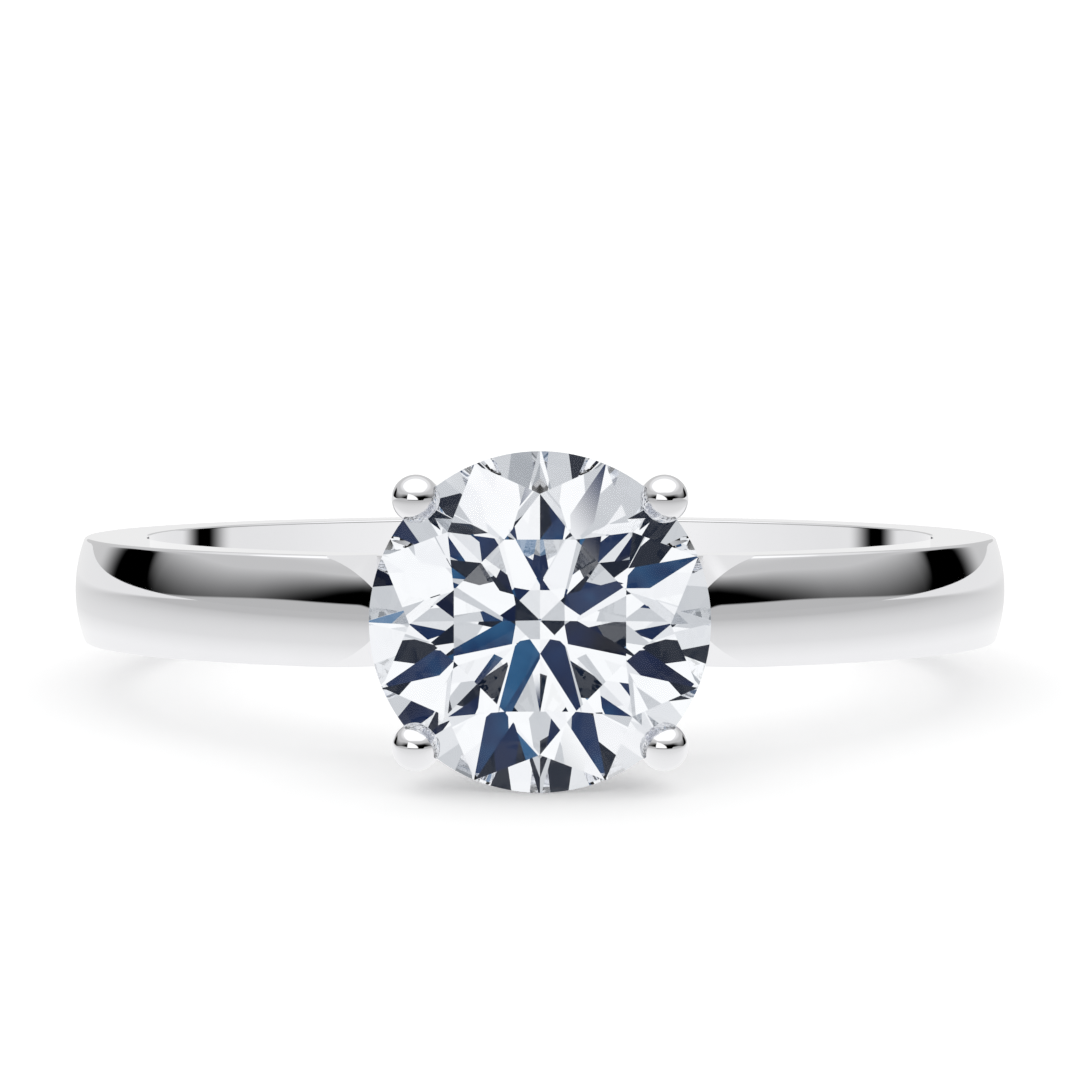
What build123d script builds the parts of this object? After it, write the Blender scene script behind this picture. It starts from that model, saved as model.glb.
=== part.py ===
from build123d import *

import math
import os

os.makedirs("parts", exist_ok=True)

# Solitaire ring. Origin at the centre of the finger hole, +Z along the hole, the stone towards -Y.
# All sizes in millimetres and degrees.

# Band
finger_diameter = 16.5
band_width = 2.2
band_thickness = 1.5
crown_rise = 0.2
edge_radius = 0.06

# Shoulders, where the crown of the band narrows towards the head
head_gap = 6.4
crown_width_at_head = 0.8
scoop_length = 1.4
scoop_radius = 2.23
flank_length = 3.4
flank_land = 0.12

# Bridge, the seat for the head between the two ends of the shank
bridge_inset = 0.05
bridge_floor = 0.5

# Stone, a round brilliant
stone_diameter = 6.5
girdle_thickness = 0.2
table_share = 0.54
crown_angle = 34.5
pavilion_angle = 40.8
star_share = 0.52
lower_half_share = 0.78
culet_diameter = 0.06
culet_clearance = 0.3

# Claws, four round wires with ball tips
claw_azimuth = 45.0
claw_offset = 0.08
claw_diameter = 0.84
ball_diameter = 0.92
ball_lead = 0.25
claw_straight = 0.42
claw_bend_radius = 1.2
claw_bend_angle = 42.0

# Rails of the basket
base_diameter = 3.4
base_hole_diameter = 0.9
base_height = 0.5
pocket_clearance = 0.06
gallery_share = 0.52
gallery_wire_diameter = 0.6
gallery_clearance = 0.05

finger_radius = finger_diameter / 2
half_width = band_width / 2
outer_radius = finger_radius + band_thickness
stone_radius = stone_diameter / 2
claw_radius = claw_diameter / 2
floor_distance = finger_radius + bridge_floor
pavilion_depth = (stone_radius - culet_diameter / 2) * math.tan(math.radians(pavilion_angle))
girdle_distance = floor_distance + culet_clearance + pavilion_depth + girdle_thickness / 2


def section_plane(angle):
    """Plane through the hole's axis, its X pointing away from the axis at this angle about +Z."""
    turn = math.radians(angle)
    return Plane(
        origin=(0, 0, 0),
        x_dir=(math.cos(turn), math.sin(turn), 0),
        z_dir=(math.sin(turn), -math.cos(turn), 0),
    )


def head_plane(distance):
    """Plane across the head, facing the viewer of the stone, this far from the hole's axis."""
    return Plane(origin=(0, -distance, 0), x_dir=(1, 0, 0), z_dir=(0, -1, 0))


# Cutter for the shoulder flanks: one quarter is drawn and mirrored to the other three.
# Its lower edge scoops up in an arc from the head, then runs parallel to the band until it leaves it.
half_gap = head_gap / 2
crown_half = crown_width_at_head / 2
flank_tilt = math.atan((half_width - crown_half) / (band_thickness - flank_land))
scoop_rise = scoop_radius - math.sqrt(scoop_radius**2 - scoop_length**2)
half_turn = math.asin(scoop_length / scoop_radius) / 2
shoulder = math.asin(half_gap / outer_radius)
radial = Vector(math.sin(shoulder), -math.cos(shoulder), 0)
flank_plane = Plane(
    origin=radial * outer_radius,
    x_dir=(math.cos(shoulder), math.sin(shoulder), 0),
    z_dir=radial * math.cos(flank_tilt) - Vector(0, 0, math.sin(flank_tilt)),
)
low = crown_half * math.cos(flank_tilt)
high = low + scoop_rise
mid = (
    scoop_length - scoop_radius * math.sin(half_turn),
    high - scoop_radius * (1 - math.cos(half_turn)),
)
cutter_top = high + band_width

with BuildPart() as flank_cutter:
    with BuildSketch(flank_plane):
        with BuildLine():
            Line((-half_gap, cutter_top), (-half_gap, low))
            Line((-half_gap, low), (0, low))
            ThreePointArc((0, low), mid, (scoop_length, high))
            Line((scoop_length, high), (flank_length, high))
            Line((flank_length, high), (flank_length, cutter_top))
            Line((flank_length, cutter_top), (-half_gap, cutter_top))
        make_face()
    extrude(amount=2 * band_thickness, both=True)
    mirror(about=Plane.YZ)
    mirror(about=Plane.XY)

# Block the width of the head's gap, on the head's side of the finger hole.
with BuildPart() as gap_block:
    with Locations((0, -outer_radius, 0)):
        Box(head_gap, 2 * outer_radius, 2 * band_width)

# Shank: a court-profile band open at the head, its crown pinched towards the two ends.
with BuildPart() as shank:
    with BuildSketch(section_plane(90)) as shank_section:
        with BuildLine():
            Line((outer_radius - crown_rise, -half_width), (finger_radius, -half_width))
            Line((finger_radius, -half_width), (finger_radius, half_width))
            Line((finger_radius, half_width), (outer_radius - crown_rise, half_width))
            ThreePointArc(
                (outer_radius - crown_rise, half_width),
                (outer_radius, 0),
                (outer_radius - crown_rise, -half_width),
            )
        make_face()
        crown_corners = [
            corner
            for corner in shank_section.vertices()
            if math.hypot(corner.X, corner.Y) > finger_radius + band_thickness / 2
        ]
        fillet(crown_corners, radius=edge_radius)
    revolve(axis=Axis.Z)
    add(flank_cutter.part, mode=Mode.SUBTRACT)
    add(gap_block.part, mode=Mode.SUBTRACT)


def stone_point(radius, azimuth, height):
    """A point of the stone: radius and azimuth about its axis, height above the girdle's middle."""
    turn = math.radians(azimuth)
    return Vector(
        radius * math.cos(turn),
        -girdle_distance - height,
        radius * math.sin(turn),
    )


def facet(first, second, third):
    """Plane through three points of the stone, its normal pointing out of the stone."""
    normal = (second - first).cross(third - first).normalized()
    if normal.dot(first - Vector(0, -girdle_distance, 0)) < 0:
        normal = normal * -1
    return Plane(origin=first, z_dir=normal)


# Diamond: a round brilliant with 57 facets and a tiny culet, cut facet by facet.
step = 45.0
half_step = step / 2
half_girdle = girdle_thickness / 2
table_radius = stone_radius * table_share
crown_height = (stone_radius - table_radius) * math.tan(math.radians(crown_angle))
table_inradius = table_radius * math.cos(math.radians(half_step))
star_radius = table_inradius + star_share * (stone_radius - table_inradius)
star_height = half_girdle + (
    stone_radius - star_radius * math.cos(math.radians(half_step))
) * math.tan(math.radians(crown_angle))
lower_radius = stone_radius * (1 - lower_half_share)
lower_height = -half_girdle - (
    stone_radius - lower_radius * math.cos(math.radians(half_step))
) * math.tan(math.radians(pavilion_angle))
table_height = half_girdle + crown_height
culet_height = -half_girdle - pavilion_depth

with BuildPart() as diamond:
    with BuildSketch(head_plane(girdle_distance + culet_height)):
        Circle(stone_radius)
    extrude(amount=table_height - culet_height)
    for turn in range(8):
        star_azimuth = turn * step
        for side in (-1, 1):
            main_azimuth = star_azimuth + side * half_step
            split(
                bisect_by=facet(
                    stone_point(star_radius, star_azimuth, star_height),
                    stone_point(stone_radius, star_azimuth, half_girdle),
                    stone_point(stone_radius, main_azimuth, half_girdle),
                ),
                keep=Keep.BOTTOM,
            )
            split(
                bisect_by=facet(
                    stone_point(lower_radius, star_azimuth, lower_height),
                    stone_point(stone_radius, star_azimuth, -half_girdle),
                    stone_point(stone_radius, main_azimuth, -half_girdle),
                ),
                keep=Keep.BOTTOM,
            )
        split(
            bisect_by=facet(
                stone_point(table_radius, star_azimuth - half_step, table_height),
                stone_point(table_radius, star_azimuth + half_step, table_height),
                stone_point(star_radius, star_azimuth, star_height),
            ),
            keep=Keep.BOTTOM,
        )
        split(
            bisect_by=facet(
                stone_point(stone_radius, star_azimuth + half_step, half_girdle),
                stone_point(star_radius, star_azimuth, star_height),
                stone_point(star_radius, star_azimuth + step, star_height),
            ),
            keep=Keep.BOTTOM,
        )
        split(
            bisect_by=facet(
                stone_point(stone_radius, star_azimuth + half_step, -half_girdle),
                stone_point(lower_radius, star_azimuth, lower_height),
                stone_point(lower_radius, star_azimuth + step, lower_height),
            ),
            keep=Keep.BOTTOM,
        )

# Claws: a round wire from the bridge floor, bent out to the girdle, notched for the stone
# and ending in a ball over the crown.
azimuth = math.radians(claw_azimuth)
claw_plane = Plane(
    origin=(0, 0, 0),
    x_dir=(math.cos(azimuth), 0, math.sin(azimuth)),
    z_dir=(math.sin(azimuth), 0, -math.cos(azimuth)),
)
claw_reach = stone_radius + claw_offset
ball_distance = girdle_distance + ball_lead
foot_run = 2 * girdle_thickness + ball_distance - floor_distance

with BuildPart() as claw_upper_right:
    with BuildLine(claw_plane) as claw_path:
        tip_run = Line((claw_reach, ball_distance), (claw_reach, girdle_distance - claw_straight))
        bend = JernArc(
            start=tip_run @ 1,
            tangent=(tip_run % 1),
            radius=claw_bend_radius,
            arc_size=-claw_bend_angle,
        )
        Line(bend @ 1, (bend @ 1) + (bend % 1) * foot_run)
    with BuildSketch(Plane(origin=claw_path.line @ 0, z_dir=claw_path.line % 0)):
        Circle(claw_radius)
    sweep(path=claw_path.line)
    with Locations(tip_run @ 0):
        Sphere(ball_diameter / 2)
    split(bisect_by=head_plane(floor_distance), keep=Keep.TOP)
    add(diamond.part, mode=Mode.SUBTRACT)

with BuildPart() as claw_upper_left:
    mirror(claw_upper_right.part, about=Plane.YZ)

with BuildPart() as claw_lower_right:
    mirror(claw_upper_right.part, about=Plane.XY)

with BuildPart() as claw_lower_left:
    mirror(claw_lower_right.part, about=Plane.YZ)

claws = (claw_upper_left, claw_upper_right, claw_lower_left, claw_lower_right)

# Base rail: a thick washer standing on the bridge floor, notched for the four claw feet.
with BuildPart() as base_rail:
    with BuildSketch(head_plane(floor_distance)):
        Circle(base_diameter / 2)
        Circle(base_hole_diameter / 2, mode=Mode.SUBTRACT)
    extrude(amount=base_height)
    for claw in claws:
        add(claw.part, mode=Mode.SUBTRACT)

# Gallery rail: a round wire hoop inside the claws, just clear of the stone's pavilion.
gallery_drop = pavilion_depth * gallery_share
gallery_stand_off = gallery_wire_diameter / 2 + gallery_clearance
gallery_radius = (
    stone_radius
    - (gallery_drop - half_girdle) / math.tan(math.radians(pavilion_angle))
    + gallery_stand_off / math.sin(math.radians(pavilion_angle))
)

with BuildPart() as gallery_rail:
    with Locations(head_plane(girdle_distance - gallery_drop).location):
        Torus(gallery_radius, gallery_wire_diameter / 2)
    for claw in claws:
        add(claw.part, mode=Mode.SUBTRACT)

# Bridge: closes the finger hole under the head, a hair narrower than the shank it joins,
# with a round pocket for the base rail.
bridge_outer = outer_radius - bridge_inset
bridge_inner_half = half_width - bridge_inset
bridge_crown_half = crown_half - bridge_inset
bridge_arc = 3 * math.degrees(shoulder)

with BuildPart() as bridge:
    with BuildSketch(section_plane(-90 - bridge_arc / 2)):
        with BuildLine():
            Polyline(
                (bridge_outer - bridge_inset, -bridge_crown_half),
                (finger_radius + flank_land, -bridge_inner_half),
                (finger_radius, -bridge_inner_half),
                (finger_radius, bridge_inner_half),
                (finger_radius + flank_land, bridge_inner_half),
                (bridge_outer - bridge_inset, bridge_crown_half),
            )
            ThreePointArc(
                (bridge_outer - bridge_inset, bridge_crown_half),
                (bridge_outer, 0),
                (bridge_outer - bridge_inset, -bridge_crown_half),
            )
        make_face()
    revolve(axis=Axis.Z, revolution_arc=bridge_arc)
    add(gap_block.part, mode=Mode.INTERSECT)
    with BuildSketch(head_plane(floor_distance)):
        Circle(base_diameter / 2 + pocket_clearance)
    extrude(amount=2 * band_thickness, mode=Mode.SUBTRACT)
    for claw in claws:
        add(claw.part, mode=Mode.SUBTRACT)

shank.part.label = "shank"
bridge.part.label = "bridge"
base_rail.part.label = "base_rail"
gallery_rail.part.label = "gallery_rail"
claw_upper_left.part.label = "claw_upper_left"
claw_upper_right.part.label = "claw_upper_right"
claw_lower_left.part.label = "claw_lower_left"
claw_lower_right.part.label = "claw_lower_right"
diamond.part.label = "diamond"

export_step(shank.part, "parts/shank.step")
export_step(bridge.part, "parts/bridge.step")
export_step(base_rail.part, "parts/base_rail.step")
export_step(gallery_rail.part, "parts/gallery_rail.step")
export_step(claw_upper_left.part, "parts/claw_upper_left.step")
export_step(claw_upper_right.part, "parts/claw_upper_right.step")
export_step(claw_lower_left.part, "parts/claw_lower_left.step")
export_step(claw_lower_right.part, "parts/claw_lower_right.step")
export_step(diamond.part, "parts/diamond.step")
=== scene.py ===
import logging
import math
from dataclasses import dataclass
from enum import Enum

import bpy
from bpy.types import Material, Node, NodeSocket, NodeTree, Object
from mathutils import Matrix, Vector


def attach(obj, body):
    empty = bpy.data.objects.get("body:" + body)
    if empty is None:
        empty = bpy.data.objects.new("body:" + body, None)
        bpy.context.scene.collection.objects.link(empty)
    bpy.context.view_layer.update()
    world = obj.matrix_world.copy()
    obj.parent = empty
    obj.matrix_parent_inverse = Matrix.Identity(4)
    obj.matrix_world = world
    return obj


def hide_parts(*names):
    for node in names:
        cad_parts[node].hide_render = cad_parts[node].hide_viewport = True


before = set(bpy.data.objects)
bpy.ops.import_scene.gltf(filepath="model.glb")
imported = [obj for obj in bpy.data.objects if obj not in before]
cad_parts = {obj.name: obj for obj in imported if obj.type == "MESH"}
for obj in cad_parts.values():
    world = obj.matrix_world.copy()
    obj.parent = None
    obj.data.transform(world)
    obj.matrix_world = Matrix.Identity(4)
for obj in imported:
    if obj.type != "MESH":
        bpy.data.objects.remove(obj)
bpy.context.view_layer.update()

LOG = logging.getLogger("solitaire_ring")
MM = 0.001


def linear(hex_colour: str, alpha: float = 1.0) -> tuple[float, float, float, float]:
    """Turns an sRGB hex colour into linear RGBA.

    Args:
        hex_colour: Six hex digits after a hash.
        alpha: The alpha to go with it.

    Returns:
        Linear red, green and blue, and the alpha.
    """
    parts = [int(hex_colour[i : i + 2], 16) / 255 for i in (1, 3, 5)]
    red, green, blue = (p / 12.92 if p <= 0.04045 else ((p + 0.055) / 1.055) ** 2.4 for p in parts)
    return (red, green, blue, alpha)


def add_node(
    tree: NodeTree,
    kind: str,
    settings: dict[str, object] | None = None,
    links: dict[str | int, object] | None = None,
) -> Node:
    """Adds a node to a tree.

    Args:
        tree: The tree it goes into.
        kind: The node's type name.
        settings: Properties of the node to set.
        links: For each input, by name or number, a socket to link to it or a value to set on it.

    Returns:
        The new node.
    """
    node = tree.nodes.new(kind)
    for name, value in (settings or {}).items():
        setattr(node, name, value)
    for name, value in (links or {}).items():
        socket = node.inputs[name]
        if isinstance(value, NodeSocket):
            tree.links.new(value, socket)
        else:
            socket.default_value = value
    return node


def maths(tree: NodeTree, operation: str, *values: object) -> NodeSocket:
    """Adds a Math node and returns its output.

    Args:
        tree: The tree it goes into.
        operation: The node's operation.
        values: What goes into its inputs, in order.

    Returns:
        The output socket.
    """
    return add_node(tree, "ShaderNodeMath", {"operation": operation}, dict(enumerate(values))).outputs[0]


def ease(
    tree: NodeTree, value: object, start: object, end: object, low: object = 0.0, high: object = 1.0
) -> NodeSocket:
    """Maps a value smoothly from the range start to end onto low to high.

    Args:
        tree: The tree the node goes into.
        value: What is mapped.
        start: Where the change begins.
        end: Where the change ends.
        low: The result before start.
        high: The result after end.

    Returns:
        The output socket.
    """
    node = add_node(
        tree,
        "ShaderNodeMapRange",
        {"interpolation_type": "SMOOTHSTEP"},
        {"Value": value, "From Min": start, "From Max": end, "To Min": low, "To Max": high},
    )
    return node.outputs["Result"]


def squares(tree: NodeTree, first: NodeSocket, second: NodeSocket) -> NodeSocket:
    """Adds up the squares of two values.

    Args:
        tree: The tree the nodes go into.
        first: One value.
        second: The other.

    Returns:
        The output socket.
    """
    first_square = maths(tree, "MULTIPLY", first, first)
    return maths(tree, "ADD", first_square, maths(tree, "MULTIPLY", second, second))


def blank_tree(material: Material) -> tuple[NodeTree, Node]:
    """Empties a material's node tree but for its output.

    Args:
        material: The material.

    Returns:
        The tree and its output node.
    """
    material.use_nodes = True
    tree = material.node_tree
    tree.nodes.clear()
    return tree, tree.nodes.new("ShaderNodeOutputMaterial")


@dataclass(frozen=True)
class RhodiumPolish:
    """White gold, rhodium plated and buffed to a mirror: neutral, very bright, almost no haze."""

    name: str = "rhodium_mirror_polish"
    bright: str = "#f4f4f6"
    dim: str = "#efeff1"
    polish_grain_mm: float = 1.6
    haze_low: float = 0.012
    haze_high: float = 0.03

    def make(self) -> Material:
        """Builds the material: faint clouds of tone and haze that a polishing mop leaves."""
        material = bpy.data.materials.new(self.name)
        tree, output = blank_tree(material)
        place = add_node(tree, "ShaderNodeTexCoord")
        clouds = add_node(
            tree,
            "ShaderNodeTexNoise",
            {},
            {"Vector": place.outputs["Object"], "Scale": 1 / (self.polish_grain_mm * MM), "Detail": 3.0},
        )
        tone = add_node(
            tree,
            "ShaderNodeMix",
            {"data_type": "RGBA"},
            {"Factor": clouds.outputs[0], "A": linear(self.dim), "B": linear(self.bright)},
        )
        haze = ease(tree, clouds.outputs[0], 0.3, 0.7, self.haze_low, self.haze_high)
        shader = add_node(
            tree,
            "ShaderNodeBsdfPrincipled",
            {},
            {"Base Color": tone.outputs[2], "Metallic": 1.0, "Roughness": haze},
        )
        tree.links.new(shader.outputs[0], output.inputs[0])
        return material


@dataclass(frozen=True)
class ColourlessDiamond:
    """Diamond, colourless, its facets polished flat: high index, clear right through."""

    name: str = "colourless_diamond"
    clear: str = "#ffffff"
    cool: str = "#f6faff"
    index: float = 2.417
    face_lustre: str = "#565656"
    cloud_mm: float = 3.0

    def make(self) -> Material:
        """Builds the material: a clear body with the faintest cool drift in its tint."""
        material = bpy.data.materials.new(self.name)
        tree, output = blank_tree(material)
        place = add_node(tree, "ShaderNodeTexCoord")
        drift = add_node(
            tree,
            "ShaderNodeTexNoise",
            {},
            {"Vector": place.outputs["Object"], "Scale": 1 / (self.cloud_mm * MM), "Detail": 1.0},
        )
        tint = add_node(
            tree,
            "ShaderNodeMix",
            {"data_type": "RGBA"},
            {"Factor": drift.outputs[0], "A": linear(self.clear), "B": linear(self.cool)},
        )
        shader = add_node(
            tree,
            "ShaderNodeBsdfPrincipled",
            {},
            {
                "Base Color": tint.outputs[2],
                "Roughness": 0.0,
                "IOR": self.index,
                "Transmission Weight": 1.0,
                "Specular Tint": linear(self.face_lustre),
            },
        )
        tree.links.new(shader.outputs[0], output.inputs[0])
        return material


@dataclass
class Studio:
    """The table the ring lies on, the soft light around it and the camera."""

    lens_mm: float = 193.9
    camera_distance_mm: float = 122.5
    look_down_deg: float = 2.68
    aim_drop_deg: float = 0.468
    table_half_mm: float = 900.0
    sleeve_radius_mm: float = 8.2
    sleeve_height_mm: float = 3.6
    sleeve_middle_mm: float = 0.5
    shard_scale: float = 3.4
    mottle_scale: float = 13.0
    softbox_light: float = 1.15
    ceiling_light: float = 0.86
    back_light: float = 0.62
    screen_light: float = 0.6
    brim_light: float = 0.52
    brim_deg: float = 6.5
    window_corner_deg: float = -41.0
    window_reach_deg: tuple[float, float] = (54.0, 29.0)
    ring_front_mm: tuple[float, float] = (-11.955, -3.25)
    ring_back_mm: tuple[float, float] = (9.6, -1.1)

    def tilt(self) -> float:
        """The table's slope along Y, in radians: the ring lies on its stone and the back of its band."""
        front, back = self.ring_front_mm, self.ring_back_mm
        return math.atan2(back[1] - front[1], back[0] - front[0])

    def table_height(self, y_mm: float) -> float:
        """Height of the table under a point, in mm.

        Args:
            y_mm: The point's Y.

        Returns:
            Z of the table there.
        """
        return self.ring_front_mm[1] + (y_mm - self.ring_front_mm[0]) * math.tan(self.tilt())

    def lay_table(self) -> Object:
        """Lays a large plain table, sloped as the ring rests on it."""
        bpy.ops.object.select_all(action="DESELECT")
        bpy.ops.mesh.primitive_plane_add(size=2 * self.table_half_mm * MM)
        table = bpy.context.object
        table.name = "table"
        turn = Matrix.Rotation(self.tilt(), 4, "X")
        table.data.transform(Matrix.Translation((0, 0, (self.table_height(0) - 0.004) * MM)) @ turn)
        table.data.materials.append(self.table_paper())
        table.visible_transmission = False
        return table

    def table_paper(self) -> Material:
        """White paper with painted light, brighter to the camera than to the metal, as an overexposed ground
        is.
        """
        material = bpy.data.materials.new("white_table_paper")
        tree, output = blank_tree(material)
        place = add_node(tree, "ShaderNodeTexCoord")
        away = add_node(tree, "ShaderNodeVectorMath", {"operation": "LENGTH"}, {0: place.outputs["Object"]})
        reach = away.outputs["Value"]
        far = ease(tree, reach, 0.012, 0.12)
        # Painted shade: the paper's grey darkens away from the ring, standing in for light that falls off
        # with distance.
        painted_falloff_grey = maths(tree, "SUBTRACT", 0.9, maths(tree, "MULTIPLY", far, 0.22))
        colour = add_node(tree, "ShaderNodeCombineColor", {}, {0: painted_falloff_grey, 1: painted_falloff_grey, 2: painted_falloff_grey})
        paper = add_node(tree, "ShaderNodeBsdfDiffuse", {}, {"Color": colour.outputs[0]})
        path = add_node(tree, "ShaderNodeLightPath")
        # Painted light: to the camera the paper glows, weakly near the ring and more away from it, so the
        # shadow under the ring shows on white.
        lift = maths(tree, "ADD", 0.27, maths(tree, "MULTIPLY", far, 0.6))
        glow = add_node(
            tree,
            "ShaderNodeEmission",
            {},
            {"Strength": maths(tree, "MULTIPLY", path.outputs["Is Camera Ray"], lift)},
        )
        both = add_node(tree, "ShaderNodeAddShader", {}, {0: paper.outputs[0], 1: glow.outputs[0]})
        # Painted reflection: glossy rays see an emission in place of the lit paper.
        mirror = self.table_in_metal(tree, place, reach)
        painted_table_reflection = add_node(tree, "ShaderNodeEmission", {}, {"Strength": mirror})
        seen = add_node(
            tree,
            "ShaderNodeMixShader",
            {},
            {0: path.outputs["Is Glossy Ray"], 1: both.outputs[0], 2: painted_table_reflection.outputs[0]},
        )
        tree.links.new(seen.outputs[0], output.inputs[0])
        return material

    def table_in_metal(
        self, tree: NodeTree, place: Node, reach: NodeSocket
    ) -> NodeSocket:
        """Painted light of the table as the metal mirrors it, an emission: white under the ring, greyer away
        from it.

        Args:
            tree: The paper's tree.
            place: Its texture coordinates.
            reach: Distance from the middle of the hole, in metres.

        Returns:
            Its light.
        """
        span = 0.06
        fade = add_node(tree, "ShaderNodeValToRGB", {}, {0: maths(tree, "DIVIDE", reach, span)})
        ramp = fade.color_ramp
        # Painted falloff of the table's glow: distance from the hole, and its light.
        stops = ((0.0125, 0.97), (0.0155, 0.82), (0.02, 0.77), (0.03, 0.66), (0.05, 0.54))
        while len(ramp.elements) < len(stops):
            ramp.elements.new(0.5)
        for stop, (distance, light) in zip(ramp.elements, stops):
            stop.position = distance / span
            stop.color = (light, light, light, 1)
        axes = add_node(tree, "ShaderNodeSeparateXYZ", {}, {0: place.outputs["Object"]})
        # Painted light: behind the ring the table glows brighter to the metal.
        return self.blend(tree, fade.outputs[0], 0.86, ease(tree, axes.outputs["Y"], 0.012, 0.02))

    def screens(self, tree: NodeTree, side: object, rise: object) -> NodeSocket:
        """Light of the screens round the ring: dark near the table, clearing upwards.

        Args:
            tree: The world's tree.
            side: Bearing from the front, in degrees, the same to both sides.
            rise: Height above the table, in degrees.

        Returns:
            Their light.
        """
        foot = add_node(tree, "ShaderNodeValToRGB", {}, {0: maths(tree, "DIVIDE", side, 180.0)})
        # Lower edge of the light screens, in degrees above the table, from front to back.
        edges = (
            (0, 14), (45, 14), (51, 11), (56, 7), (61, 3), (66, -2), (75, -12), (85, -15), (95, -14),
            (101, -11), (109, -5), (113, 2), (117, 13), (122, 16), (132, 16), (180, 16),
        )
        ramp = foot.color_ramp
        ramp.interpolation = "LINEAR"
        while len(ramp.elements) < len(edges):
            ramp.elements.new(0.5)
        for stop, (angle, height) in zip(ramp.elements, edges):
            stop.position = angle / 180
            grey = (height + 20) / 40
            stop.color = (grey, grey, grey, 1)
        start = maths(tree, "SUBTRACT", maths(tree, "MULTIPLY", foot.outputs[0], 40.0), 20.0)
        end = ease(tree, side, 60.0, 90.0, 25.0, 20.0)
        span = maths(tree, "SUBTRACT", end, start)
        climb = maths(tree, "DIVIDE", maths(tree, "SUBTRACT", rise, start), span)
        climb = add_node(tree, "ShaderNodeClamp", {}, {0: climb}).outputs[0]
        screen = maths(tree, "MULTIPLY", maths(tree, "POWER", climb, 2.2), self.screen_light)
        return self.blend(tree, screen, self.back_light, ease(tree, side, 129.0, 143.0))

    def below(self, tree: NodeTree, rise: object, brim: object) -> NodeSocket:
        """One below a brim and nothing above it, over one degree.

        Args:
            tree: The world's tree.
            rise: Height above the table, in degrees.
            brim: Height of the brim, in degrees.

        Returns:
            The share, from 0 to 1.
        """
        return add_node(tree, "ShaderNodeClamp", {}, {0: maths(tree, "SUBTRACT", brim, rise)}).outputs[0]

    def blend(self, tree: NodeTree, low: object, high: object, share: object) -> NodeSocket:
        """Mixes two values.

        Args:
            tree: The world's tree.
            low: The value at share 0.
            high: The value at share 1.
            share: How much of the second.

        Returns:
            The mix.
        """
        node = add_node(tree, "ShaderNodeMix", {"data_type": "FLOAT"}, {0: share, 2: low, 3: high})
        return node.outputs[0]

    def softbox(self, tree: NodeTree, axes: Node, light: object) -> NodeSocket:
        """Hangs the big overhead softbox.

        Args:
            tree: The world's tree.
            axes: The direction, split into its axes.
            light: The light around it.

        Returns:
            The light with the softbox.
        """
        height = maths(tree, "MAXIMUM", axes.outputs["Z"], 0.02)
        across = maths(tree, "DIVIDE", axes.outputs["X"], height)
        forward = maths(tree, "DIVIDE", maths(tree, "MULTIPLY", axes.outputs["Y"], -1.0), height)
        wide = maths(tree, "DIVIDE", maths(tree, "ADD", across, 0.05), 1.08)
        deep = maths(tree, "DIVIDE", maths(tree, "SUBTRACT", forward, 0.35), 0.93)
        edge = maths(
            tree,
            "ADD",
            maths(tree, "POWER", maths(tree, "ABSOLUTE", wide), 3.0),
            maths(tree, "POWER", maths(tree, "ABSOLUTE", deep), 3.0),
        )
        return self.blend(tree, light, self.softbox_light, ease(tree, edge, 1.04, 0.92))

    def window(self, tree: NodeTree, bearing: object, rise: object, light: object) -> object:
        """Opens a white window in front, to the left.

        Args:
            tree: The world's tree.
            bearing: Bearing from the front, in degrees, right positive.
            rise: Height above the table, in degrees.
            light: The light around it.

        Returns:
            The light with the window.
        """
        wide, high = self.window_reach_deg
        inward = maths(tree, "SUBTRACT", bearing, self.window_corner_deg)
        across = maths(tree, "DIVIDE", inward, wide)
        up = maths(tree, "DIVIDE", rise, high)
        round_off = squares(tree, across, up)
        pane = maths(
            tree,
            "MULTIPLY",
            ease(tree, round_off, 1.05, 0.9),
            maths(tree, "MULTIPLY", ease(tree, across, -0.02, 0.03), ease(tree, up, 0.05, 0.12)),
        )
        return self.blend(tree, light, self.softbox_light, pane)

    def oval(
        self, tree: NodeTree, across: object, up: object, middle: tuple[float, float],
        reach: tuple[float, float], soft: float = 0.06,
    ) -> NodeSocket:
        """Makes the mask of an oval in front of the stone.

        Args:
            tree: The world's tree.
            across: Degrees to the right of straight ahead.
            up: Degrees above straight ahead.
            middle: Its centre, across and up.
            reach: Its half sizes, across and up.
            soft: Softness of its edge, as a share of its size.

        Returns:
            1 inside, 0 outside.
        """
        wide = maths(tree, "DIVIDE", maths(tree, "SUBTRACT", across, middle[0]), reach[0])
        high = maths(tree, "DIVIDE", maths(tree, "SUBTRACT", up, middle[1]), reach[1])
        return ease(tree, squares(tree, wide, high), 1 + soft, 1 - soft)

    def tones(
        self, tree: NodeTree, value: object, stops: tuple[tuple[float, str], ...], stepped: bool
    ) -> NodeSocket:
        """Maps a value onto colours.

        Args:
            tree: The world's tree.
            value: What is mapped, 0 to 1.
            stops: Places and sRGB colours.
            stepped: True for hard steps between them.

        Returns:
            The colour.
        """
        node = add_node(tree, "ShaderNodeValToRGB", {}, {0: value})
        ramp = node.color_ramp
        ramp.interpolation = "CONSTANT" if stepped else "LINEAR"
        while len(ramp.elements) < len(stops):
            ramp.elements.new(0.5)
        for stop, (place, tone) in zip(ramp.elements, stops):
            stop.position = place
            stop.color = linear(tone)
        return node.outputs[0]

    def tint(self, tree: NodeTree, low: object, high: object, share: object) -> NodeSocket:
        """Mixes two colours.

        Args:
            tree: The world's tree.
            low: The colour at share 0.
            high: The colour at share 1.
            share: How much of the second.

        Returns:
            The mix.
        """
        node = add_node(tree, "ShaderNodeMix", {"data_type": "RGBA"}, {"Factor": share, "A": low, "B": high})
        return node.outputs[2]

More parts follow.
